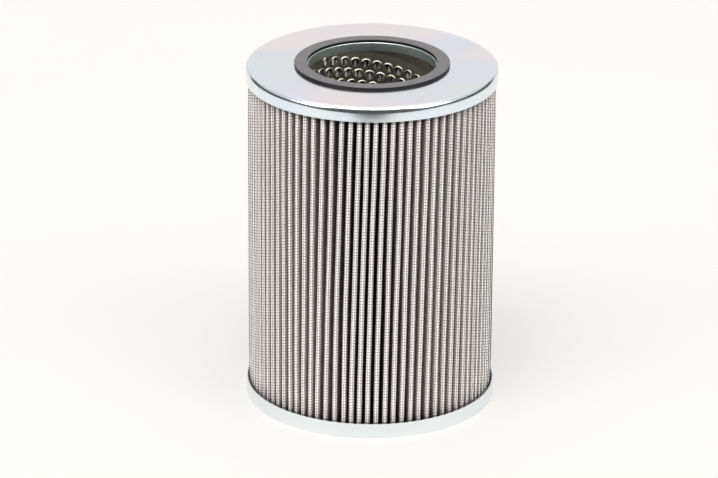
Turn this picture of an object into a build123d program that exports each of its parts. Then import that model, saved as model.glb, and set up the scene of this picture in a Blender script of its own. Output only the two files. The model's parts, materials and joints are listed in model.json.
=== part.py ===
"""Pleated hydraulic filter element, open at the top and closed at the bottom. Millimetres.

The frame's origin is the centre of the bottom cap's outer face and +Z is the element's axis.
Fluid passes inwards: through the outer mesh and the filter media, which are folded together, then
through the perforated tube and out of the top cap's neck.
"""

from build123d import *
from math import asin, ceil, cos, degrees, hypot, pi, sin
import os

# ---------------------------------------------------------------- driving dimensions
# End caps, pressed from sheet
CAP_DIAMETER = 150.0
BODY_HEIGHT = 209.0  # from the bottom cap's outer face to the top cap's outer face
CAP_SHEET = 0.8
RIM_HEIGHT = 9.0
BEND_SHARE = 1.0  # bevel that stands for the outside of each bend, in sheet thicknesses

# Outlet neck, turned down from the top cap
NECK_BORE_DIAMETER = 76.0
NECK_DEPTH = 5.4  # from the cap's outer face to the neck's free edge

# Flat rubber seal on the top cap
SEAL_NECK_CLEARANCE = 0.5  # from the neck's bore to the seal's
SEAL_WIDTH = 7.6
SEAL_THICKNESS = 1.6

# Centre tube, wound from perforated strip
TUBE_WALL = 1.0
TUBE_NECK_CLEARANCE = 0.4  # between the neck and the tube's inner face
STRIP_LEAD = 44.0  # advance of one turn of the strip
STRIP_MARGIN = 10.0  # plain edge of the strip, which carries the lock seam
STRIP_ROWS = 2  # rows of holes along each turn
HOLE_WIDTH = 5.0
HOLE_PITCH = 36.0  # along a row
TUBE_END_LAND = 6.0  # plain tube left at each end

# Folded pack
OUTER_MESH_THICKNESS = 0.46
MEDIA_THICKNESS = 0.50
INNER_MESH_THICKNESS = 0.46  # bonded to the media's clean side, so both are one sheet here
FOLD_SPACE = 0.035  # left free beside each fold where it bears on the tube
PACK_TUBE_CLEARANCE = 0.3
PACK_RIM_CLEARANCE = 0.45
TIP_BEVEL_SHARE = 1.4  # bevel on the outer folds, in thicknesses of the outer mesh
# Uneven spacing of the fold tips, in degrees: the middle of a stretch, measured to the right of the
# front, its half length, and how far its middle fold's tip is drawn aside
FOLD_DRIFTS = [
    (-150, 24, -0.5),
    (-112, 24, 0.6),
    (-80, 22, -0.4),
    (-38, 25, -0.25),
    (-12, 13, 0.75),
    (50, 36, 1.7),
    (108, 30, -0.6),
    (148, 24, 0.5),
]
SEAM_DEPTH = 12.0  # radial depth of the bead that closes the pack
SEAM_INSET = 4.0  # from the fold tips to the bead

# Potting adhesive
BED_THICKNESS = 2.0
BED_CLEARANCE = 0.1  # beside the rim and the tube

# ---------------------------------------------------------------- sizes that follow
CAP_RADIUS = CAP_DIAMETER / 2
RIM_INNER_RADIUS = CAP_RADIUS - CAP_SHEET
BEND_BEVEL = BEND_SHARE * CAP_SHEET
NECK_RADIUS = NECK_BORE_DIAMETER / 2
NECK_OUTER_RADIUS = NECK_RADIUS + CAP_SHEET
TUBE_INNER_RADIUS = NECK_OUTER_RADIUS + TUBE_NECK_CLEARANCE
TUBE_OUTER_RADIUS = TUBE_INNER_RADIUS + TUBE_WALL

FLOOR_Z = CAP_SHEET  # inner face of the bottom cap
CEILING_Z = BODY_HEIGHT - CAP_SHEET  # inner face of the top cap
PACK_BOTTOM_Z = FLOOR_Z + BED_THICKNESS
PACK_TOP_Z = CEILING_Z - BED_THICKNESS
PACK_HEIGHT = PACK_TOP_Z - PACK_BOTTOM_Z

PACK_SHEET = OUTER_MESH_THICKNESS + MEDIA_THICKNESS + INNER_MESH_THICKNESS
PACK_ROOT_RADIUS = TUBE_OUTER_RADIUS + PACK_TUBE_CLEARANCE
PACK_TIP_RADIUS = RIM_INNER_RADIUS - PACK_RIM_CLEARANCE
PLEAT_COUNT = int(2 * pi * PACK_ROOT_RADIUS / (2 * PACK_SHEET + FOLD_SPACE))
HALF_PITCH = pi / PLEAT_COUNT  # angle from a fold's tip to the next root
TIP_BEVEL = TIP_BEVEL_SHARE * OUTER_MESH_THICKNESS
MERGE = 1e-6  # points nearer than this are one


# ---------------------------------------------------------------- end caps
def pressed(corners, bends):
    """A cap turned from a section of (radius, height) corners, with a bevel at each bend."""
    section = make_face(Polyline(*corners, close=True))
    for radius, height in bends:
        nearest = section.vertices().sort_by_distance((radius, height, 0))[0]
        section = chamfer(nearest, length=BEND_BEVEL)
    return revolve(Plane.XZ * section, axis=Axis.Z)


def top_end_cap():
    """Annular face with its rim and its neck both turned down."""
    rim_end = BODY_HEIGHT - RIM_HEIGHT
    neck_end = BODY_HEIGHT - NECK_DEPTH
    neck_corner = (NECK_RADIUS, BODY_HEIGHT)
    rim_corner = (CAP_RADIUS, BODY_HEIGHT)
    corners = [
        (NECK_RADIUS, neck_end),
        neck_corner,
        rim_corner,
        (CAP_RADIUS, rim_end),
        (RIM_INNER_RADIUS, rim_end),
        (RIM_INNER_RADIUS, CEILING_Z),
        (NECK_OUTER_RADIUS, CEILING_Z),
        (NECK_OUTER_RADIUS, neck_end),
    ]
    return pressed(corners, [neck_corner, rim_corner])


def bottom_end_cap():
    """Closed shallow cup."""
    rim_corner = (CAP_RADIUS, 0)
    corners = [
        (0, 0),
        rim_corner,
        (CAP_RADIUS, RIM_HEIGHT),
        (RIM_INNER_RADIUS, RIM_HEIGHT),
        (RIM_INNER_RADIUS, FLOOR_Z),
        (0, FLOOR_Z),
    ]
    return pressed(corners, [rim_corner])


# ---------------------------------------------------------------- rings
def ring(inner_radius, outer_radius, bottom_z, top_z):
    """A plain ring about the element's axis."""
    section = Circle(outer_radius) - Circle(inner_radius)
    return Pos(0, 0, bottom_z) * extrude(section, amount=top_z - bottom_z)


def top_seal():
    """Flat rubber ring bonded to the top cap round the neck."""
    inner_radius = NECK_RADIUS + SEAL_NECK_CLEARANCE
    outer_radius = inner_radius + SEAL_WIDTH
    return ring(inner_radius, outer_radius, BODY_HEIGHT, BODY_HEIGHT + SEAL_THICKNESS)


def adhesive_bed(bottom_z):
    """Potting adhesive between a cap's face and the end of the folded pack."""
    inner_radius = TUBE_OUTER_RADIUS + BED_CLEARANCE
    outer_radius = RIM_INNER_RADIUS - BED_CLEARANCE
    return ring(inner_radius, outer_radius, bottom_z, bottom_z + BED_THICKNESS)


# ---------------------------------------------------------------- centre tube
def hole_places():
    """(angle in degrees, height) of each hole, in rows that climb as the strip is wound."""
    holes_per_turn = round(2 * pi * TUBE_OUTER_RADIUS / HOLE_PITCH)
    row_pitch = (STRIP_LEAD - STRIP_MARGIN) / STRIP_ROWS
    lowest = FLOOR_Z + TUBE_END_LAND + HOLE_WIDTH / 2
    highest = CEILING_Z - TUBE_END_LAND - HOLE_WIDTH / 2
    turns = ceil((highest - lowest) / STRIP_LEAD) + 1
    for row in range(STRIP_ROWS):
        for step in range(turns * holes_per_turn):
            angle = (step + row / 2) * 360 / holes_per_turn
            height = lowest + row * row_pitch + (angle / 360 - 1) * STRIP_LEAD
            if lowest <= height <= highest:
                yield angle, height


def centre_tube():
    """Support tube with its helical rows of holes, each cut square to keep its faces few."""
    tube = ring(TUBE_INNER_RADIUS, TUBE_OUTER_RADIUS, FLOOR_Z, CEILING_Z)
    punch = extrude(Rectangle(HOLE_WIDTH, HOLE_WIDTH), amount=TUBE_OUTER_RADIUS + TUBE_WALL)
    outwards = Rot(0, 90, 0) * punch
    return tube - [Pos(0, 0, height) * Rot(0, 0, angle) * outwards for angle, height in hole_places()]


# ---------------------------------------------------------------- folded pack
def polar(radius, angle):
    return Vector(radius * cos(angle), radius * sin(angle))


def crossing(start_a, along_a, start_b, along_b):
    """Where two lines cross, each given by a point and a direction."""
    gap = start_b - start_a
    turn = along_a.X * along_b.Y - along_a.Y * along_b.X
    return start_a + along_a * ((gap.X * along_b.Y - gap.Y * along_b.X) / turn)


def flank():
    """Outer face of a fold's flank: the point on its root, its direction outwards and its normal.

    It starts on the root's ray, where neighbouring folds meet, and slants so that the inner faces
    of the fold's two flanks meet under the tip.
    """
    root = polar(PACK_ROOT_RADIUS + PACK_SHEET, HALF_PITCH)
    span = Vector(PACK_TIP_RADIUS - PACK_SHEET, 0) - root
    slant = asin(PACK_SHEET / hypot(span.X, span.Y))
    along = span.normalized().rotate(Axis.Z, degrees(slant))
    return root, along, along.rotate(Axis.Z, 90)


def half_fold(depth, bevel):
    """Corners of one face of a sheet from a fold's tip to its root, at a depth in the pack.

    All faces are parallel: each flank, tip and root is the outer one's, moved inwards by the depth.
    """
    root, along, normal = flank()
    start = root - normal * depth
    root_ray = polar(1, HALF_PITCH)
    tip = crossing(start, along, Vector(PACK_TIP_RADIUS - depth, 0), Vector(0, 1))
    heel = crossing(start, along, root_ray * (root.length - depth), root_ray.rotate(Axis.Z, 90))
    if bevel:
        return [tip - Vector(0, bevel), tip - along * bevel, heel]
    return [tip, heel]


def drift(turn):
    """How far the tip of the fold at a turn from +X is drawn aside, in degrees."""
    aside = 0
    for middle, reach, shift in FOLD_DRIFTS:
        apart = (turn + 90 - middle + 180) % 360 - 180
        if abs(apart) < reach:
            aside += shift * (1 + cos(pi * apart / reach)) / 2
    return aside


def placed(point, turn):
    """A corner of a fold moved round to its place; the drift grows from the fold's root to its tip."""
    root = PACK_ROOT_RADIUS + PACK_SHEET
    share = max(0, (point.length - root) / (PACK_TIP_RADIUS - root))
    return point.rotate(Axis.Z, turn + share * drift(turn))


def folded_outline(depth, bevel=0.0):
    """Closed outline of one face of a sheet, all the way round the pack."""
    half = half_fold(depth, bevel)
    fold = [Vector(point.X, -point.Y) for point in reversed(half)] + half
    turns = [degrees(2 * HALF_PITCH * index) for index in range(PLEAT_COUNT)]
    points = [placed(point, turn) for turn in turns for point in fold]
    pairs = zip(points, points[-1:] + points[:-1])
    return Wire.make_polygon([point for point, before in pairs if (point - before).length > MERGE])


def folded_sheet(outer_depth, inner_depth, bevel=0.0):
    """One sheet of the pack, between two depths."""
    section = Face(folded_outline(outer_depth, bevel), [folded_outline(inner_depth)])
    return Pos(0, 0, PACK_BOTTOM_Z) * extrude(section, amount=PACK_HEIGHT, dir=(0, 0, 1))


def side_seam():
    """Bead of adhesive between two flanks at the back, where the pack closes on itself."""
    root, along, _ = flank()
    tip = Vector(PACK_TIP_RADIUS - SEAM_INSET, 0)
    outer = crossing(root, along, tip, Vector(0, 1))
    side = [point.rotate(Axis.Z, -degrees(HALF_PITCH)) for point in (outer, outer - along * SEAM_DEPTH)]
    corners = [(point.X, point.Y) for point in side]
    corners += [(x, -y) for x, y in reversed(corners)]
    bead = extrude(make_face(Polyline(*corners, close=True)), amount=PACK_HEIGHT)
    folds_to_back = round((pi / 2) / (2 * HALF_PITCH))
    return Pos(0, 0, PACK_BOTTOM_Z) * Rot(0, 0, degrees((2 * folds_to_back + 1) * HALF_PITCH)) * bead


# ---------------------------------------------------------------- files
def build():
    return {
        "top_end_cap": top_end_cap(),
        "bottom_end_cap": bottom_end_cap(),
        "top_seal": top_seal(),
        "centre_tube": centre_tube(),
        "outer_mesh": folded_sheet(0, OUTER_MESH_THICKNESS, TIP_BEVEL),
        "filter_media": folded_sheet(OUTER_MESH_THICKNESS, PACK_SHEET),
        "top_adhesive": adhesive_bed(PACK_TOP_Z),
        "bottom_adhesive": adhesive_bed(FLOOR_Z),
        "side_seam": side_seam(),
    }


os.makedirs("parts", exist_ok=True)
for name, solid in build().items():
    solid.label = name
    export_step(solid, f"parts/{name}.step")
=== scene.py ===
"""Looks of the pleated filter element: zinc-plated caps, folded wire cloth over white media, a
perforated tube seen through the open end, and a flat rubber seal. Metres, in the CAD frame."""

import json
import math
import random

import bmesh
import bpy
import numpy as np
from mathutils import Matrix, Vector


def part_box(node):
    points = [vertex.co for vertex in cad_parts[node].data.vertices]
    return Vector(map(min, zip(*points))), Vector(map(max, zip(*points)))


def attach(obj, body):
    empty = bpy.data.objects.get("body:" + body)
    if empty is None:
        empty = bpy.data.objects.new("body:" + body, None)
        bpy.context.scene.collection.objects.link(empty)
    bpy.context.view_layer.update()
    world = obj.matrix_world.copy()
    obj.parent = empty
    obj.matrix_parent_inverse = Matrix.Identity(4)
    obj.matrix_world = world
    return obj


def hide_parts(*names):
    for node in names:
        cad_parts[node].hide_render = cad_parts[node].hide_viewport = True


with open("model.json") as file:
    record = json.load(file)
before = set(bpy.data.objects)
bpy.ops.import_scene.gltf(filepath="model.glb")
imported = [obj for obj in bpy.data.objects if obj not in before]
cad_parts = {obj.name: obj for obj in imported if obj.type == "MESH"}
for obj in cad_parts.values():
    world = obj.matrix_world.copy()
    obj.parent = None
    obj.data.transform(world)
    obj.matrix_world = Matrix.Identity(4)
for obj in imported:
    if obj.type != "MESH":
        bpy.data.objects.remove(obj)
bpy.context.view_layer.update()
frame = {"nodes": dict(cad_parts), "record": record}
MM = 0.001
dice = random.Random(11)

# ---------------------------------------------------------------- sizes from the frame
CAP_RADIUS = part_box("bottom_end_cap")[1].x
BODY_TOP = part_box("top_end_cap")[1].z
RIM_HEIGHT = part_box("bottom_end_cap")[1].z
SEAL_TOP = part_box("top_seal")[1].z
SEAL_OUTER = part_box("top_seal")[1].x
TUBE_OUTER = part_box("centre_tube")[1].x
TUBE_BOTTOM, TUBE_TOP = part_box("centre_tube")[0].z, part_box("centre_tube")[1].z
PACK_BOTTOM, PACK_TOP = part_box("outer_mesh")[0].z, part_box("outer_mesh")[1].z
PACK_HEIGHT = PACK_TOP - PACK_BOTTOM
TIP_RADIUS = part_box("outer_mesh")[1].x
NECK_BORE = frame["record"]["mounts"][0]["dims"]["r_mm"] * MM  # radius inside the neck

# ---------------------------------------------------------------- folded pack
FRONT = -90  # degrees, the side that faces the camera
PLEATS = 88
HALF_PITCH = math.pi / PLEATS
CLOTH = 0.36 * MM  # depth of the media's outer face, under the crowns of the wires
MEDIA = 0.94 * MM  # depth of its inner face, where the inner cloth begins
SHEET = 1.42 * MM  # outer cloth, media and inner cloth together
ROOT_GAP = 0.05 * MM  # half the free space between neighbouring folds at their roots
TUBE_GAP = 0.3 * MM  # between the centre tube and the folds
ROOT_CENTRE = TUBE_OUTER + TUBE_GAP + SHEET + ROOT_GAP
HALF_FOLD = ROOT_CENTRE * math.sin(HALF_PITCH) - ROOT_GAP  # half a fold's width at its root
TIP_HALF = 1.70 * MM  # half the width of a fold's rounded tip
TIP_GAP = 0.02 * MM  # between the tips and the pack's outer radius
TUCK = 0.3 * MM  # how far the tips draw in at each cap
TUCK_REACH = 0.04  # share of the pack's height in which most of that is made up
TIP_STEPS, ROOT_STEPS = 6, 4  # straight pieces that round a tip and a root of the media

WIRE_RADIUS = 0.14 * MM
WEFT_DEPTH, WARP_DEPTH = 0.17 * MM, 0.25 * MM
WEFT_PITCH = 1.814 * MM  # between the wires that run round the pack
WARP_PITCH = 1.411 * MM  # between the wires that run along it
WARP_REACH = TIP_HALF - WARP_DEPTH  # radius at which these wires go round a tip
WARP_ARC = WARP_REACH * math.pi / 2

# Uneven spacing of the tips, in degrees to the right of the front: middle, half length and shift
FOLD_DRIFTS = [(-150, 24, -0.5), (-112, 24, 0.6), (-80, 22, -0.4), (-38, 25, -0.25), (-12, 13, 0.75),
               (50, 36, 1.7), (108, 30, -0.6), (148, 24, 0.5)]
LEAN = -3.3  # degrees that a leaning tip drifts from the top of the pack to the bottom
LEAN_RISE = (-42, -18)  # degrees to the right of the front between which the folds begin to lean
LEAN_FALL = (105, 150)  # and between which they stop
LEAN_START = -0.64  # share of the lean that a tip has at the top
LEAN_PACE, LEAN_SLOWING = 1.14, 0.14  # share that it gains on its way down, and loses near the bottom
WOBBLES = ((0.8, 0.10), (1.9, 0.06), (4.3, 0.03))  # waves over the pack's height, and their degrees


def round_apart(angle, place):
    """Signed degrees from a place to an angle, the short way round."""
    return (angle - place + 180) % 360 - 180


def eased(value, start, stop):
    """Smooth rise from 0 at start to 1 at stop."""
    share = np.clip((value - start) / (stop - start), 0, 1)
    return share * share * (3 - 2 * share)


def root_angles():
    """Angle of every fold where it bears on the tube, in radians."""
    return np.arange(PLEATS) * 2 * HALF_PITCH + math.radians(FRONT)


def tip_angles(height):
    """Angle of every fold's tip at each height, in radians; height is an array from 0 to 1."""
    place = round_apart(np.degrees(root_angles()), FRONT)[:, None]
    drift = 0
    for middle, reach, shift in FOLD_DRIFTS:
        apart = np.clip(round_apart(place, middle) / reach, -1, 1)
        drift = drift + shift * (1 + np.cos(math.pi * apart)) / 2
    lean = LEAN * eased(place, *LEAN_RISE) * (1 - eased(place, *LEAN_FALL))
    fallen = 1 - height
    slide = LEAN_PACE * fallen - LEAN_SLOWING * fallen ** 4 + LEAN_START
    wobble = np.zeros((PLEATS, len(height)))
    for fold in range(PLEATS):
        for waves, size in WOBBLES:
            phase = dice.uniform(0, 2 * math.pi)
            wobble[fold] += size * np.sin(2 * math.pi * waves * height + phase)
    return np.radians(place + FRONT + drift + lean * slide + wobble)


LEVELS = 29  # heights at which the tips' angles are worked out
level_heights = np.linspace(0, 1, LEVELS)
level_tips = tip_angles(level_heights)


def fold_frames(height):
    """Every fold's tip point, outward and sideways directions and length at one height (0 to 1)."""
    tips = np.array([np.interp(height, level_heights, row) for row in level_tips])
    tuck = TUCK * (math.exp(-height / TUCK_REACH) + math.exp(-(1 - height) / TUCK_REACH))
    radius = TIP_RADIUS - TIP_GAP - tuck
    roots = root_angles()
    tip = radius * np.stack([np.cos(tips), np.sin(tips)], 1)
    root = ROOT_CENTRE * np.stack([np.cos(roots), np.sin(roots)], 1)
    out = tip - root
    length = np.linalg.norm(out, axis=1, keepdims=True)
    out /= length
    side = np.stack([-out[:, 1], out[:, 0]], 1)
    return tip, out, side, length[:, 0]


def fold_line(height, depth, tip_steps, root_steps):
    """Closed line round the pack at a depth under its outer face: (folds * points, 2)."""
    tip, out, side, _ = fold_frames(height)
    centre = tip - out * TIP_HALF
    angles = np.linspace(-math.pi / 2, math.pi / 2, tip_steps + 1)
    points = [centre + (TIP_HALF - depth) * (math.cos(a) * out + math.sin(a) * side) for a in angles]
    between = root_angles() + HALF_PITCH
    radial = np.stack([np.cos(between), np.sin(between)], 1)
    across = np.stack([-radial[:, 1], radial[:, 0]], 1)
    for a in np.linspace(0, math.pi, root_steps + 1):
        inward = math.cos(a) * across + math.sin(a) * radial
        points.append(ROOT_CENTRE * radial - (ROOT_GAP + depth) * inward)
    return np.stack(points, 1).reshape(-1, 2)


def developed_length(depth):
    """Length of the sheet round all its folds at a depth, half way up the pack."""
    line = fold_line(0.5, depth, TIP_STEPS, ROOT_STEPS)
    return float(np.linalg.norm(np.roll(line, -1, 0) - line, axis=1).sum())


# ---------------------------------------------------------------- mesh helpers
def new_object(name, verts, faces, material, smooth=True):
    """Mesh object with one material; each face is a row of its points' numbers."""
    if isinstance(faces, np.ndarray):
        faces = faces.tolist()
    mesh = bpy.data.meshes.new(name)
    mesh.from_pydata(np.asarray(verts).tolist(), [], faces)
    mesh.validate()
    mesh.update()
    if smooth:
        mesh.shade_smooth()
    mesh.materials.append(material)
    obj = bpy.data.objects.new(name, mesh)
    bpy.context.scene.collection.objects.link(obj)
    return obj


def keep_edges(obj, degrees=35):
    """Smooth shading that stays crisp at sharp edges."""
    obj.data.set_sharp_from_angle(angle=math.radians(degrees))


def grid_faces(rows, columns, start=0, rows_loop=False, flip=False):
    """Quads of a grid of rows by columns, closed round its columns and, if asked, its rows."""
    last_row = rows if rows_loop else rows - 1
    r, c = np.meshgrid(np.arange(last_row), np.arange(columns), indexing="ij")
    r, c = r.ravel(), c.ravel()
    up, right = (r + 1) % rows, (c + 1) % columns
    quads = np.stack([r * columns + c, r * columns + right, up * columns + right, up * columns + c], 1)
    return (quads[:, ::-1] if flip else quads) + start


def lathe(name, profile, material, segments=256, uneven=None):
    """Closed ring turned from a section, a list of (radius, height) going round it."""
    profile = np.array(profile)
    angles = np.linspace(0, 2 * math.pi, segments, endpoint=False)
    radius, height = profile[:, :1], np.repeat(profile[:, 1:], segments, axis=1)
    if uneven:
        height = height + uneven(radius, angles)
    verts = np.stack([radius * np.cos(angles), radius * np.sin(angles), height], 2).reshape(-1, 3)
    obj = new_object(name, verts, grid_faces(len(profile), segments, rows_loop=True), material)
    keep_edges(obj)
    return obj


def bend(centre, radius, start, stop, steps=7):
    """Points of an arc in a section, in degrees from the outward direction."""
    turns = np.radians(np.linspace(start, stop, steps))
    return [(centre[0] + radius * math.cos(t), centre[1] + radius * math.sin(t)) for t in turns]


# ---------------------------------------------------------------- node helpers
class Nodes:
    """A material's node tree with short ways to add and join nodes."""

    def __init__(self, name):
        self.material = bpy.data.materials.new(name)
        self.material.use_nodes = True
        self.tree = self.material.node_tree
        self.shader = self.tree.nodes["Principled BSDF"]

    def add(self, kind, inputs=None, **settings):
        node = self.tree.nodes.new("ShaderNode" + kind)
        for key, value in settings.items():
            setattr(node, key, value)
        for key, value in (inputs or {}).items():
            self.feed(node.inputs[key], value)
        return node

    def feed(self, socket, value):
        """Gives a socket a constant or joins it to another node's output."""
        if isinstance(value, bpy.types.NodeSocket):
            self.tree.links.new(value, socket)
        else:
            socket.default_value = value

    def place(self):
        return self.add("TexCoord").outputs["Object"]

    def part(self, vector, axis):
        return self.add("SeparateXYZ", {0: vector}).outputs[axis]

    def upward(self):
        """1 on a face that looks up, 0 on an upright one."""
        return self.part(self.add("NewGeometry").outputs["Normal"], "Z")

    def from_axis(self, start, stop):
        """0 nearer to the axis than start, 1 beyond stop."""
        flat = self.add("VectorMath", {0: self.place(), 1: (1, 1, 0)}, operation="MULTIPLY").outputs[0]
        radius = self.add("VectorMath", {0: flat}, operation="LENGTH").outputs["Value"]
        return self.remap(radius, start, stop)

    def noise(self, scale, detail=3.0, roughness=0.55, seed=0.0):
        """Grain between 0 and 1, with about scale grains to the metre."""
        mapping = self.add("Mapping", {"Vector": self.place(), "Location": (seed, seed, seed)})
        inputs = {"Vector": mapping.outputs[0], "Scale": scale, "Detail": detail, "Roughness": roughness}
        return self.add("TexNoise", inputs).outputs[0]

    def combine(self, operation, first, second):
        return self.add("Math", {0: first, 1: second}, operation=operation).outputs[0]

    def remap(self, value, start, stop, low=0.0, high=1.0):
        """Straight from low at start to high at stop, and level beyond them."""
        inputs = {"Value": value, "From Min": start, "From Max": stop, "To Min": low, "To Max": high}
        return self.add("MapRange", inputs).outputs[0]

    def spread(self, value, low, high):
        """A value between 0 and 1, stretched to run from low to high."""
        return self.remap(value, 0.0, 1.0, low, high)

    def ramp(self, value, stops):
        """Colour by value; stops are pairs of a value and a colour."""
        node = self.add("ValToRGB", {"Fac": value})
        while len(node.color_ramp.elements) < len(stops):
            node.color_ramp.elements.new(0.5)
        for element, (position, color) in zip(node.color_ramp.elements, stops):
            element.position = position
            element.color = (*color, 1)
        return node.outputs[0]

    def mix(self, share, first, second):
        """Colour between two, each a triple or the output of a node."""
        node = self.add("Mix", {"Factor": share}, data_type="RGBA")
        for key, side in (("A", first), ("B", second)):
            socket = next(i for i in node.inputs if i.name == key and i.type == "RGBA")
            self.feed(socket, (*side, 1) if isinstance(side, tuple) else side)
        return next(o for o in node.outputs if o.type == "RGBA")

    def set(self, **inputs):
        """Feeds the shader's sockets; an underscore in a name stands for a space."""
        for key, value in inputs.items():
            self.feed(self.shader.inputs[key.replace("_", " ")], value)

    def bump(self, value, distance, strength):
        node = self.add("Bump", {"Height": value, "Distance": distance, "Strength": strength})
        self.tree.links.new(node.outputs[0], self.shader.inputs["Normal"])


# ---------------------------------------------------------------- materials
FACE_TINTS = [(0.36, (0.79, 0.84, 0.87)), (0.46, (0.79, 0.82, 0.90)),
              (0.56, (0.87, 0.82, 0.87)), (0.68, (0.89, 0.86, 0.82))]
RIM_TINTS = [(0.35, (0.72, 0.805, 0.875)), (0.50, (0.765, 0.83, 0.88)), (0.65, (0.81, 0.85, 0.855))]
LOW_TINT = (0.815, 0.86, 0.88)  # towards which the rims' tint goes from the top to the bottom
NECK_TINT = (0.80, 0.91, 0.91)
NECK_FADE = (0.1 * MM, 0.9 * MM)  # distances from the bore where the neck's look is full, and gone
FACE_SHIFT = (-0.06, 0.08)  # shift of the faces' tints at the front and at the back
PLATE_ROUGHNESS = (0.13, 0.22)
NECK_DULLNESS = 0.13  # roughness that the neck has besides
# The second rubber colour is dust together with a painted sheen, for the faces that look up
RUBBER_BLACK, RUBBER_DUST_AND_SHEEN = (0.010, 0.010, 0.012), (0.138, 0.134, 0.139)
WIRE_TINTS = [(0.3, (0.11, 0.094, 0.092)), (0.7, (0.185, 0.167, 0.164))]
WIRE_PAINTED_SHADE = (0.085, 0.074, 0.072)  # painted shade: the wires' darker tint down between the folds
WIRE_SHADE_DEPTHS = (3.6 * MM, 0.8 * MM)  # depths under the tips where that painted shade is full, and where it is gone
GAUZE_TINTS = [(0.1, (0.09, 0.09, 0.09)), (0.6, (0.36, 0.36, 0.35))]
GAUZE_BANDS = 1 / (20 * WEFT_PITCH)  # scale of the bands drawn on the gauze
MEDIA_TINTS = [(0.3, (0.94, 0.905, 0.89)), (0.7, (0.98, 0.955, 0.945))]
# Painted shade on the media: its grey down between the folds, full and gone at the two depths under the
# tips on the next line
MEDIA_PAINTED_SHADE = (0.56, 0.50, 0.485)
MEDIA_SHADE_DEPTHS = (3.0 * MM, 0.6 * MM)
TUBE_TINTS = [(0.3, (0.32, 0.31, 0.265)), (0.7, (0.50, 0.48, 0.415))]
# Near-black adhesive: painted shade where it shows between the folds
ADHESIVE_SHADE_TINTS = [(0.3, (0.030, 0.031, 0.034)), (0.7, (0.050, 0.050, 0.054))]
FLOOR_TINTS = [(0.3, (0.315, 0.310, 0.302)), (0.7, (0.325, 0.320, 0.312))]
FLOOR_GLOW, GLOW_LEVEL = (1.0, 0.985, 0.965, 1), 0.42


def zinc_material():
    """Clear zinc plate: a soft mirror, bluish on the rims, with a play of tints on the faces."""
    n = Nodes("clear_zinc_plate")
    height = n.remap(n.part(n.place(), "Z"), 0.0, BODY_TOP)
    rims = n.mix(height, LOW_TINT, n.ramp(n.noise(14, 2, seed=1.7), RIM_TINTS))
    shift = n.remap(n.part(n.place(), "Y"), -CAP_RADIUS, CAP_RADIUS, *FACE_SHIFT)
    faces = n.ramp(n.combine("ADD", n.noise(16, 2.5, seed=3.1), shift), FACE_TINTS)
    plate = n.mix(n.remap(n.upward(), 0.3, 0.9), rims, faces)
    outside = n.from_axis(NECK_BORE + NECK_FADE[0], NECK_BORE + NECK_FADE[1])
    even = n.spread(n.noise(60, 4, seed=8), *PLATE_ROUGHNESS)
    rough = n.combine("ADD", even, n.spread(outside, NECK_DULLNESS, 0.0))
    n.set(Base_Color=n.mix(outside, NECK_TINT, plate), Metallic=1.0, Roughness=rough)
    n.bump(n.noise(160, 2), 0.01 * MM, 0.15)
    return n.material


def rubber_material():
    """Black rubber, lighter on the faces that look up: dust, and a painted sheen."""
    n = Nodes("seal_rubber")
    # Dust and a painted sheen lighten the faces that look up
    dust_and_sheen = n.remap(n.upward(), 0.5, 1.0, 0.0, 0.8)
    spots = n.combine("MULTIPLY", dust_and_sheen, n.spread(n.noise(220, 4), 0.75, 1.25))
    n.set(Base_Color=n.mix(spots, RUBBER_BLACK, RUBBER_DUST_AND_SHEEN), Specular_IOR_Level=0.22,
          Roughness=n.spread(n.noise(300, 3, seed=5), 0.40, 0.52))
    n.bump(n.noise(1600, 3), 0.03 * MM, 0.4)
    return n.material


def wire_material():
    """Galvanised wire, duller and browner down between the folds, where shade is painted into its colour.
    """
    n = Nodes("galvanised_wire")
    tips = n.from_axis(TIP_RADIUS - WIRE_SHADE_DEPTHS[0], TIP_RADIUS - WIRE_SHADE_DEPTHS[1])
    light = n.ramp(n.noise(260, 3), WIRE_TINTS)
    # Painted shade: the wires darken towards the roots of the folds
    n.set(Base_Color=n.mix(tips, WIRE_PAINTED_SHADE, light), Metallic=0.35,
          Roughness=n.spread(n.noise(500, 2, seed=4), 0.45, 0.6))
    return n.material


def gauze_material():
    """Wire gauze against the tube, seen only through its holes: bands and grain stand for its wires."""
    n = Nodes("inner_gauze")
    wave = {"Vector": n.place(), "Scale": GAUZE_BANDS, "Distortion": 0.3}
    bands = n.add("TexWave", wave, bands_direction="Z").outputs["Fac"]
    wires = n.combine("MULTIPLY", bands, n.noise(900, 2, seed=6))
    n.set(Base_Color=n.ramp(wires, GAUZE_TINTS), Metallic=0.6, Roughness=0.42)
    n.bump(wires, 0.1 * MM, 0.8)
    return n.material


def media_material():
    """White non-woven sheet, greyer down between the folds, where shade is painted into its colour."""
    n = Nodes("filter_media")
    tips = n.from_axis(TIP_RADIUS - MEDIA_SHADE_DEPTHS[0], TIP_RADIUS - MEDIA_SHADE_DEPTHS[1])
    white = n.ramp(n.noise(90, 5), MEDIA_TINTS)
    # Painted shade: the sheet greys towards the roots of the folds
    n.set(Base_Color=n.mix(tips, MEDIA_PAINTED_SHADE, white), Roughness=0.9)
    n.bump(n.noise(2200, 4, 0.7), 0.05 * MM, 0.6)
    return n.material


def tube_material():
    """Zinc-coated strip, oiled and a little yellow."""
    n = Nodes("tube_steel")
    n.set(Base_Color=n.ramp(n.noise(70, 4), TUBE_TINTS), Metallic=1.0,
          Roughness=n.spread(n.noise(220, 3, seed=2), 0.26, 0.42))
    n.bump(n.noise(800, 3), 0.02 * MM, 0.4)
    return n.material


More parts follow.
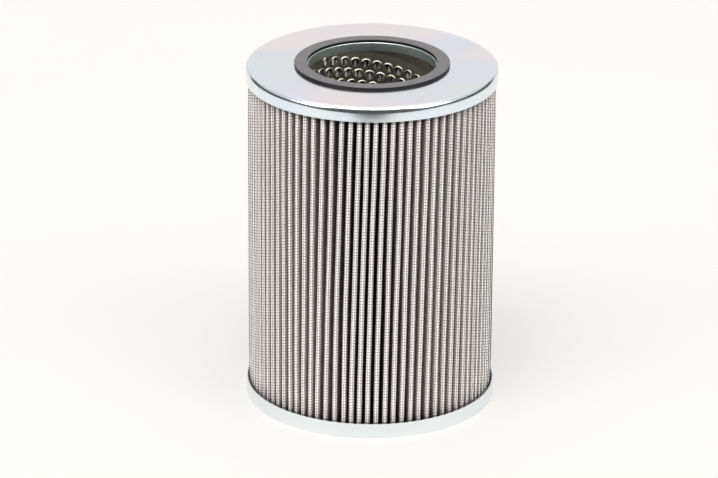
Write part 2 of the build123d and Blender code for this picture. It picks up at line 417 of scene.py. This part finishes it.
def adhesive_material():
    """Potting adhesive with a slightly wavy surface, near-black so that it paints shade where it shows
    between the folds.
    """
    n = Nodes("potting_adhesive")
    n.set(Base_Color=n.ramp(n.noise(80, 3), ADHESIVE_SHADE_TINTS), Roughness=0.45)
    n.bump(n.noise(150, 3), 0.2 * MM, 0.4)
    return n.material


def floor_material():
    """White table, lit through from below as well, so that shadows on it stay faint."""
    n = Nodes("white_floor")
    n.set(Base_Color=n.ramp(n.noise(3, 2), FLOOR_TINTS), Roughness=0.75,
          Emission_Color=FLOOR_GLOW, Emission_Strength=GLOW_LEVEL)
    return n.material


# ---------------------------------------------------------------- caps and seal
CAP_SHEET = 0.8 * MM
NECK_DEPTH = 5.4 * MM
LIP = 0.35 * MM  # rounding where the face turns down into the neck
EDGE = 0.02 * MM  # rounding of the sheet's cut edges
INNER_BEND = 0.5 * MM  # rounding inside the rims
TOP_CORNER = (2.4 * MM, 4.0 * MM)  # width and height of the top cap's rounded corner
CORNER_STEPS = 12
BOTTOM_CORNER = 0.6 * MM
FACE_RINGS = 6  # steps across the top cap's face
# Places of the rings that keep the rims' shading even
TOP_RINGS = (1.5 * MM, 0.2 * MM)  # over the end of the top cap's rim
CORNER_RING, END_RING = 0.3 * MM, 0.2 * MM  # over the bottom cap's corner and under its rim's end
CAP_WAVE = 0.05 * MM
PINHOLE = 0.01 * MM  # radius at which the bottom cap's section stops short of the axis
SEAL_GAP = 0.5 * MM  # between the neck's bore and the seal
SEAL_INNER = NECK_BORE + SEAL_GAP
SEAL_EDGE = 0.3 * MM


def cap_unevenness(radius, angles):
    """Slight waves of the pressed sheet, stronger towards the neck."""
    waves = 1.6 + np.sin(2 * angles + 0.7) + 0.6 * np.sin(5 * angles)
    return -CAP_WAVE * waves * np.clip(2 * (1 - radius / CAP_RADIUS) + 0.3, 0, 1)


def top_corner():
    """Points of the top cap's outer corner, from its face down to its rim."""
    wide, high = TOP_CORNER
    turns = [math.radians(90 - 90 / CORNER_STEPS * k) for k in range(CORNER_STEPS + 1)]
    return [(CAP_RADIUS - wide + wide * math.cos(t), BODY_TOP - high + high * math.sin(t)) for t in turns]


def make_top_cap(material):
    """Disc with a rim and a neck turned down."""
    rim_end, neck_end = BODY_TOP - RIM_HEIGHT, BODY_TOP - NECK_DEPTH
    inside, neck_back = CAP_RADIUS - CAP_SHEET, NECK_BORE + CAP_SHEET
    ceiling = BODY_TOP - CAP_SHEET
    step = (CAP_RADIUS - NECK_BORE) / FACE_RINGS
    section = [(neck_back, neck_end + EDGE), (neck_back - EDGE, neck_end), (NECK_BORE + EDGE, neck_end),
               (NECK_BORE, neck_end + EDGE)]
    section += bend((NECK_BORE + LIP, BODY_TOP - LIP), LIP, 180, 90)
    section += [(NECK_BORE + step * k, BODY_TOP) for k in range(1, FACE_RINGS)]
    section += top_corner()
    section += [(CAP_RADIUS, rim_end + above) for above in TOP_RINGS]
    section += bend((CAP_RADIUS - EDGE, rim_end + EDGE), EDGE, 0, -90, 4)
    section += bend((inside + EDGE, rim_end + EDGE), EDGE, -90, -180, 4)
    section += bend((inside - INNER_BEND, ceiling - INNER_BEND), INNER_BEND, 0, 90, 4)
    section += [(neck_back, ceiling)]
    return lathe("top_end_cap_plate", section[::-1], material, uneven=cap_unevenness)


def make_bottom_cap(material):
    """Closed cup."""
    inside = CAP_RADIUS - CAP_SHEET
    section = [(PINHOLE, 0)]
    section += bend((CAP_RADIUS - BOTTOM_CORNER, BOTTOM_CORNER), BOTTOM_CORNER, -90, 0, 9)
    section += [(CAP_RADIUS, BOTTOM_CORNER + CORNER_RING), (CAP_RADIUS, RIM_HEIGHT - END_RING)]
    section += bend((CAP_RADIUS - EDGE, RIM_HEIGHT - EDGE), EDGE, 0, 90, 4)
    section += bend((inside + EDGE, RIM_HEIGHT - EDGE), EDGE, 90, 180, 4)
    section += bend((inside - INNER_BEND, CAP_SHEET + INNER_BEND), INNER_BEND, 0, -90, 4)
    section += [(PINHOLE, CAP_SHEET)]
    return lathe("bottom_end_cap_plate", section, material)


def make_seal(material):
    """Flat ring on the top cap, round its neck."""
    section = [(SEAL_INNER, BODY_TOP), (SEAL_OUTER, BODY_TOP)]
    section += bend((SEAL_OUTER - SEAL_EDGE, SEAL_TOP - SEAL_EDGE), SEAL_EDGE, 0, 90, 5)
    section += bend((SEAL_INNER + SEAL_EDGE, SEAL_TOP - SEAL_EDGE), SEAL_EDGE, 90, 180, 5)
    return lathe("top_seal_ring", section, material)


# ---------------------------------------------------------------- media and wire cloth
def folded_sheet(name, outer_depth, inner_depth, material, levels=13, tip_steps=TIP_STEPS):
    """One sheet of the pack between two depths, closed at both ends."""
    verts, faces = [], []
    for depth in (outer_depth, inner_depth):
        start = sum(len(v) for v in verts)
        for h in np.linspace(0, 1, levels):
            line = fold_line(h, depth, tip_steps, ROOT_STEPS)
            verts.append(np.column_stack([line, np.full(len(line), PACK_BOTTOM + h * PACK_HEIGHT)]))
        columns = len(line)
        faces.append(grid_faces(levels, columns, start, flip=depth == inner_depth))
    inner, top = levels * columns, (levels - 1) * columns
    k = np.arange(columns)
    after = (k + 1) % columns
    faces.append(np.stack([k, inner + k, inner + after, after], 1))
    faces.append(np.stack([top + k, top + after, inner + top + after, inner + top + k], 1))
    return new_object(name, np.vstack(verts), np.vstack(faces), material)


def tubes_round(paths, heights, sides):
    """Points of the wires that run round the pack: each closed path gets a tube of a few sides."""
    along = np.roll(paths, -1, 1) - np.roll(paths, 1, 1)
    along /= np.linalg.norm(along, axis=2, keepdims=True)
    outward = np.stack([along[..., 1], -along[..., 0]], 2)
    rings = []
    for a in np.arange(sides) * 2 * math.pi / sides:
        flat = paths + WIRE_RADIUS * math.cos(a) * outward
        level = heights[:, None, None] + WIRE_RADIUS * math.sin(a)
        rings.append(np.concatenate([flat, np.broadcast_to(level, (*flat.shape[:2], 1))], 2))
    return np.stack(rings, 2).reshape(-1, 3)


def make_weft(material, sides=3, pieces=4):
    """Wires that run round the pack over every fold, in a few pieces one above the other."""
    count = int(PACK_HEIGHT / WEFT_PITCH)
    margin = (PACK_HEIGHT - (count - 1) * WEFT_PITCH) / 2
    heights = margin + np.arange(count) * WEFT_PITCH
    made = []
    for band, part in enumerate(np.array_split(heights, pieces)):
        paths = np.stack([fold_line(h / PACK_HEIGHT, WEFT_DEPTH, tip_steps=4, root_steps=1) for h in part])
        points = paths.shape[1]
        quads = grid_faces(points, sides, rows_loop=True, flip=True)
        faces = np.vstack([quads + w * points * sides for w in range(len(part))])
        verts = tubes_round(paths, part + PACK_BOTTOM, sides)
        made.append(new_object(f"wire_cloth_weft_{band + 1}", verts, faces, material))
    return made


def warp_point(tip, out, side, s):
    """Place on a fold at a length s along the cloth from its tip, in the layer of the upright wires."""
    centre = tip - out * TIP_HALF
    if abs(s) < WARP_ARC:
        turn = s / WARP_REACH
        return centre + WARP_REACH * (math.cos(turn) * out + math.sin(turn) * side)
    narrowing = (TIP_HALF - HALF_FOLD) / (TIP_RADIUS - ROOT_CENTRE)
    down = abs(s) - WARP_ARC
    return centre - down * out + math.copysign(WARP_REACH - narrowing * down, s) * side


def warp_paths(rows):
    """Paths of the wires that run along the pack, spaced along the folded cloth."""
    heights = np.linspace(0, 1, rows)
    frames = [fold_frames(h) for h in heights]
    paths = []
    for fold in range(PLEATS):
        flank = frames[0][3][fold] - TIP_HALF
        offset = dice.uniform(0, 1)
        steps = int((WARP_ARC + flank) / WARP_PITCH)
        for step in range(-steps, steps):
            path = []
            for h, (tip, out, side, _) in zip(heights, frames):
                x, y = warp_point(tip[fold], out[fold], side[fold], (step + offset) * WARP_PITCH)
                path.append((x, y, PACK_BOTTOM + h * PACK_HEIGHT))
            paths.append(path)
    return np.array(paths)


def make_warp(material, sides=3, rows=8):
    """Wires that run along the pack, each closed at both ends."""
    paths = warp_paths(rows)
    turns = np.arange(sides) * 2 * math.pi / sides
    ring = WIRE_RADIUS * np.stack([np.cos(turns), np.sin(turns), 0 * turns], 1)
    verts = (paths[:, :, None, :] + ring).reshape(-1, 3)
    starts = np.arange(len(paths)) * rows * sides
    faces = np.vstack([grid_faces(rows, sides, start) for start in starts]).tolist()
    for start in starts.tolist():
        faces.append([start + k for k in reversed(range(sides))])
        faces.append([start + (rows - 1) * sides + k for k in range(sides)])
    return new_object("wire_cloth_warp", verts, faces, material)


# ---------------------------------------------------------------- centre tube
TUBE_WALL = 1.0 * MM
LEAD = 44.0 * MM  # height that the strip climbs in one turn
ROWS = 5  # rows of holes across the strip
ROW_PITCH = 6.9 * MM
HOLE_PITCH = 6.85 * MM
HOLE_RADIUS = 2.55 * MM
END_LAND = 4.6 * MM  # plain height at each end of the tube
TUBE_TURN = 233.3  # turns the start of the strip round the tube, in degrees
SIDE_STEPS = 4  # points on each side of the cell that holds one hole
SPARE = 12 * MM  # strip that is rolled up past each end of the tube, then cut off
SAME = 1e-7  # what lies nearer than this to a point of the strip's grid is that point
ON_CUT, SNAP = 1e-6, 1e-8  # what lies nearer than these to a cut is its rim, or is moved onto it

# The lock seam, in mm: distance from the strip's lower or upper edge, and the inner face's push inwards
SEAM_LOWER = [(0, -0.35), (0.3, 0), (1.8, 0), (3.4, 0)]
SEAM_UPPER = [(3.4, -0.06), (1.8, -0.20), (0.5, -0.32), (0, -0.35)]
# The drawn edge of a hole, in mm: width of each ring beyond the hole, and its push inwards
HOLE_FOOT, HOLE_CREST, HOLE_EDGE = (0.80, 0.02), (0.28, 0.48), (0, 0.44)


class Strip:
    """Double-walled strip, rolled up as it is drawn: q counts quarter pitches along it, t goes across."""

    def __init__(self):
        self.middle = TUBE_OUTER - TUBE_WALL / 2
        self.slope = math.atan(LEAD / (2 * math.pi * self.middle))
        turn = 2 * math.pi * self.middle * math.cos(self.slope)
        self.width = LEAD * math.cos(self.slope)
        self.first_row = (self.width - ROWS * ROW_PITCH) / 2
        self.quarters = round(turn / HOLE_PITCH * SIDE_STEPS)
        self.quarter = turn / self.quarters
        rise = self.quarter * math.sin(self.slope)
        self.start = int((TUBE_BOTTOM - SPARE - self.width) / rise)
        self.stop = int((TUBE_TOP + SPARE) / rise)
        self.verts, self.faces, self.known = [], [], {}

    def height(self, q, t):
        return q * self.quarter * math.sin(self.slope) + t * math.cos(self.slope)

    def point(self, q, t, outer, push=0.0):
        around = q * self.quarter * math.cos(self.slope) - t * math.sin(self.slope)
        angle = around / self.middle + math.radians(TUBE_TURN)
        radius = TUBE_OUTER - (0 if outer else TUBE_WALL) - push
        self.verts.append((radius * math.cos(angle), radius * math.sin(angle), self.height(q, t)))
        return len(self.verts) - 1

    def corner(self, q, t, outer, push=0.0):
        """Shared point of the grid; the strip's upper edge is the next turn's lower edge."""
        if t > self.width - SAME:
            q, t = q + self.quarters, 0
        key = (q, round(t / SAME), outer)
        if key not in self.known:
            self.known[key] = self.point(q, t, outer, 0 if outer else push)
        return self.known[key]

    def face(self, points, outer):
        self.faces.append(points if outer else points[::-1])

    def quad(self, q, lower, upper):
        """Both faces of the strip for one quarter pitch, between two levels (distance, push)."""
        for outer in (False, True):
            sides = ((0, lower), (1, lower), (1, upper), (0, upper))
            self.face([self.corner(q + i, t, outer, push) for i, (t, push) in sides], outer)

    def border(self, q, low, outer):
        """Points round the cell that holds one hole."""
        n, step = SIDE_STEPS, ROW_PITCH / SIDE_STEPS
        way = [(k, 0) for k in range(n)] + [(n, k) for k in range(n)]
        way += [(n - k, n) for k in range(n)] + [(0, n - k) for k in range(n)]
        return [self.corner(q + i, low + j * step, outer) for i, j in way]

    def ring(self, q, t, size, outer):
        """Circle laid on the strip; size is its width beyond the hole and its push inwards, in mm."""
        radius, push = HOLE_RADIUS + size[0] * MM, size[1] * MM
        turns = [math.radians(-135 + 90 / SIDE_STEPS * k) for k in range(4 * SIDE_STEPS)]
        return [self.point(q + radius * math.cos(a) / self.quarter, t + radius * math.sin(a), outer, push)
                for a in turns]

    def band(self, ring, following, outer):
        """Faces between two rings of as many points."""
        for k in range(len(ring)):
            after = (k + 1) % len(ring)
            self.face((ring[k], ring[after], following[after], following[k]), outer)

    def plain_cell(self, q, low):
        """Cell without a hole."""
        inner, outer = self.border(q, low, False), self.border(q, low, True)
        for ring, side in ((inner, False), (outer, True)):
            middle = self.point(q + SIDE_STEPS / 2, low + ROW_PITCH / 2, side)
            for k in range(len(ring)):
                self.face((ring[k], ring[(k + 1) % len(ring)], middle), side)

    def pierced_cell(self, q, low):
        """Cell with a round hole, whose edge is drawn inwards."""
        inner, outer = self.border(q, low, False), self.border(q, low, True)
        centre = q + SIDE_STEPS / 2, low + ROW_PITCH / 2
        rings = [inner] + [self.ring(*centre, size, False) for size in (HOLE_FOOT, HOLE_CREST, HOLE_EDGE)]
        rings += [self.ring(*centre, (0, 0), True)]
        for ring, following in zip(rings[:-1], rings[1:]):
            self.band(ring, following, False)
        self.band(outer, rings[-1], True)

    def roll_seams(self):
        """The strip's two edges, beside its rows of holes."""
        lower = [(t * MM, push * MM) for t, push in SEAM_LOWER] + [(self.first_row, 0)]
        upper = [(self.first_row + ROWS * ROW_PITCH, 0)]
        upper += [(self.width - t * MM, push * MM) for t, push in SEAM_UPPER]
        pairs = list(zip(lower[:-1], lower[1:])) + list(zip(upper[:-1], upper[1:]))
        middle, reach = (TUBE_TOP + TUBE_BOTTOM) / 2, TUBE_TOP / 2 + SPARE
        for q in range(self.start, self.stop):
            for below, above in pairs:
                if abs(self.height(q, below[0]) - middle) < reach:
                    self.quad(q, below, above)

    def roll_holes(self):
        """Rows of cells, pierced except in the plain land at the tube's ends."""
        land = END_LAND + HOLE_RADIUS
        for row in range(ROWS):
            low = self.first_row + row * ROW_PITCH
            shift = (row * 2 - 1) % SIDE_STEPS
            for q in range(self.start - self.start % SIDE_STEPS + shift, self.stop, SIDE_STEPS):
                centre = self.height(q + SIDE_STEPS / 2, low + ROW_PITCH / 2)
                if TUBE_BOTTOM + land < centre < TUBE_TOP - land:
                    self.pierced_cell(q, low)
                elif TUBE_BOTTOM - SPARE < centre < TUBE_TOP + SPARE:
                    self.plain_cell(q, low)


def cut_ends(mesh):
    """Trims the rolled strip square at the tube's two ends and closes the wall there."""
    shape = bmesh.new()
    shape.from_mesh(mesh)
    for height, way in ((TUBE_BOTTOM, -1), (TUBE_TOP, 1)):
        everything = shape.verts[:] + shape.edges[:] + shape.faces[:]
        bmesh.ops.bisect_plane(shape, geom=everything, dist=SNAP, plane_co=(0, 0, height),
                               plane_no=(0, 0, way), clear_outer=True)
        open_edges = [e for e in shape.edges if e.is_boundary]
        rim = [e for e in open_edges if all(abs(v.co.z - height) < ON_CUT for v in e.verts)]
        bmesh.ops.bridge_loops(shape, edges=rim)
    bmesh.ops.recalc_face_normals(shape, faces=shape.faces)
    shape.to_mesh(mesh)
    shape.free()


def make_tube(material):
    """Tube wound from the strip, turn on turn."""
    strip = Strip()
    strip.roll_seams()
    strip.roll_holes()
    tube = new_object("perforated_tube", strip.verts, strip.faces, material)
    cut_ends(tube.data)
    keep_edges(tube, 40)
    return tube


# ---------------------------------------------------------------- the dressed part
def dress(piece, slot, *nodes):
    """Puts a piece on the part in place of some of its solids; slot is not used."""
    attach(piece, "root")
    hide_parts(*nodes)


zinc, wire, adhesive = zinc_material(), wire_material(), adhesive_material()
dress(make_top_cap(zinc), "cap_steel", "top_end_cap")
dress(make_bottom_cap(zinc), "cap_steel", "bottom_end_cap")
dress(make_seal(rubber_material()), "seal_rubber", "top_seal")
dress(make_tube(tube_material()), "tube_steel", "centre_tube")
media = folded_sheet("pleated_media", CLOTH, MEDIA, media_material())
dress(media, "media", "filter_media")
developed_length((CLOTH + MEDIA) / 2)
inner_cloth = folded_sheet("inner_cloth", MEDIA, SHEET, gauze_material(), levels=7, tip_steps=4)
dress(inner_cloth, "mesh_steel", "filter_media")
for weft in make_weft(wire):
    dress(weft, "mesh_steel", "outer_mesh")
dress(make_warp(wire), "mesh_steel", "outer_mesh")
# The adhesive's near-black colour paints shade where it shows between the folds
for node in ("top_adhesive", "bottom_adhesive", "side_seam"):
    frame["nodes"][node].data.materials.clear()
    frame["nodes"][node].data.materials.append(adhesive)

# ---------------------------------------------------------------- stage, light and camera
FLOOR_HALF, FLOOR_NEAR, FLOOR_FAR = 1.8, -0.80, 3.0
BAY_HALF, BAY_EDGE, BAY_STEPS = 0.32, -0.615, 10  # the curve in the floor's front edge

# Brightness of the studio's parts
BACK_LEVEL = 0.88  # white sweep behind the object, and walls beside it
ROOM_LEVEL = 0.09  # room in front of it and beside it, near the horizon
TOP_LEVEL = 1.1  # ceiling above
FRONT_LEVEL = 3.9  # lamps in the ceiling in front
SEEN_LEVEL = 0.95  # what the camera itself sees past the floor's edge, as pale as the floor
STUDIO_COLOR = (1.0, 0.99, 0.975, 1)

# Stretches over which these parts fade in or out: shares of the way up, back (front is negative) or aside
WALL_HEIGHTS = (0.16, 0.34)
LAMP_HEIGHTS = (0.46, 0.66)
TOP_HEIGHTS = (0.55, 0.8)
FRONT_DEPTHS = (-0.45, -0.05)
SWEEP_DEPTHS = (0.66, 0.82)
SIDES, SIDE_DROP = (0.45, 0.75), 0.32  # the lamps reach lower down by this much at the sides

LAMP_PLACE, LAMP_TARGET, LAMP_SIZE, LAMP_POWER = (-0.25, -0.75, 1.7), (0, 0, 0.1), 0.7, 8

LENS, FILM_WIDTH = 215.18273, 36.0  # in mm
CAMERA_DISTANCE, CAMERA_REACH = 2.57817, 50
LOOK_DOWN = 0.3827  # radians below the horizon
SWING, TILT, ROLL = 0.0027653307, -0.0026504586, 0.0073  # radians away from the object's middle


def make_floor():
    """White table, whose front edge curves in towards the object where the camera stands."""
    outline = [(-FLOOR_HALF, FLOOR_FAR), (-FLOOR_HALF, FLOOR_NEAR)]
    for k in range(-BAY_STEPS, BAY_STEPS + 1):
        share = k / BAY_STEPS
        outline.append((BAY_HALF * share, BAY_EDGE + (FLOOR_NEAR - BAY_EDGE) * share ** 2))
    outline += [(FLOOR_HALF, FLOOR_NEAR), (FLOOR_HALF, FLOOR_FAR)]
    floor = new_object("floor", [(x, y, 0) for x, y in outline], [tuple(range(len(outline)))],
                       floor_material(), smooth=False)


def make_world():
    """White studio behind, beside and above the object, dim near the horizon in front and at the sides."""
    world = bpy.data.worlds.new("studio")
    bpy.context.scene.world = world
    world.use_nodes = True
    tree = world.node_tree

    def node(kind, **settings):
        made = tree.nodes.new("ShaderNode" + kind)
        for key, value in settings.items():
            setattr(made, key, value)
        return made

    def ease(value, stretch, low, high):
        made = node("MapRange", interpolation_type="SMOOTHSTEP")
        for key, number in zip(("From Min", "From Max", "To Min", "To Max"), (*stretch, low, high)):
            made.inputs[key].default_value = number
        tree.links.new(value, made.inputs["Value"])
        return made.outputs[0]

    def join(operation, first, second):
        made = node("Math", operation=operation)
        for socket, value in zip(made.inputs, (first, second)):
            if isinstance(value, float):
                socket.default_value = value
            else:
                tree.links.new(value, socket)
        return made.outputs[0]

    split = node("SeparateXYZ")
    tree.links.new(node("TexCoord").outputs["Generated"], split.inputs[0])
    x, y, z = (split.outputs[key] for key in "XYZ")
    aside = join("MAXIMUM", x, join("MULTIPLY", x, -1.0))
    reach = join("ADD", z, ease(aside, SIDES, 0.0, SIDE_DROP))
    lamps = join("MULTIPLY", ease(reach, LAMP_HEIGHTS, 0.0, 1.0), ease(y, FRONT_DEPTHS, FRONT_LEVEL, 0.0))
    walls = join("MULTIPLY", ease(z, WALL_HEIGHTS, 0.0, 1.0), ease(y, FRONT_DEPTHS, 0.0, BACK_LEVEL))
    sweep = ease(y, SWEEP_DEPTHS, ROOM_LEVEL, BACK_LEVEL)
    above = ease(z, TOP_HEIGHTS, 0.0, TOP_LEVEL)
    seen = join("MULTIPLY", node("LightPath").outputs["Is Camera Ray"], SEEN_LEVEL)
    level = join("MAXIMUM", join("MAXIMUM", sweep, walls), join("MAXIMUM", lamps, above))
    background = tree.nodes["Background"]
    tree.links.new(join("MAXIMUM", level, seen), background.inputs["Strength"])
    background.inputs["Color"].default_value = STUDIO_COLOR


def make_lamp():
    """Large soft lamp high above the object, to the left and in front of it."""
    data = bpy.data.lights.new("overhead", "AREA")
    data.shape, data.size, data.energy = "DISK", LAMP_SIZE, LAMP_POWER
    lamp = bpy.data.objects.new("overhead", data)
    lamp.location = LAMP_PLACE
    lamp.rotation_mode = "QUATERNION"
    lamp.rotation_quaternion = (Vector(LAMP_TARGET) - Vector(LAMP_PLACE)).to_track_quat("-Z", "Y")
    bpy.context.scene.collection.objects.link(lamp)


def turned(first, second, angle):
    """Two directions at right angles, the first turned towards the second, and the second with it."""
    return (first * math.cos(angle) + second * math.sin(angle),
            second * math.cos(angle) - first * math.sin(angle))


def make_camera():
    """A long lens, looking down at about 22 degrees."""
    right = Vector((1, 0, 0))
    ahead = Vector((0, math.cos(LOOK_DOWN), -math.sin(LOOK_DOWN)))
    up = right.cross(ahead)
    place = Vector((0, 0, BODY_TOP / 2)) - ahead * CAMERA_DISTANCE
    ahead, right = turned(ahead, right, -SWING)
    ahead, up = turned(ahead, up, TILT)
    right, up = turned(right, up, ROLL)
    data = bpy.data.cameras.new("camera")
    data.sensor_width = FILM_WIDTH
    data.lens = LENS
    data.clip_end = CAMERA_REACH
    camera = bpy.data.objects.new("camera", data)
    bpy.context.scene.collection.objects.link(camera)
    camera.matrix_world = Matrix.Translation(place) @ Matrix((right, up, -ahead)).transposed().to_4x4()
    bpy.context.scene.camera = camera


make_floor()
make_world()
make_lamp()
make_camera()
bpy.context.scene.view_settings.view_transform = "Standard"

bpy.context.view_layer.update()
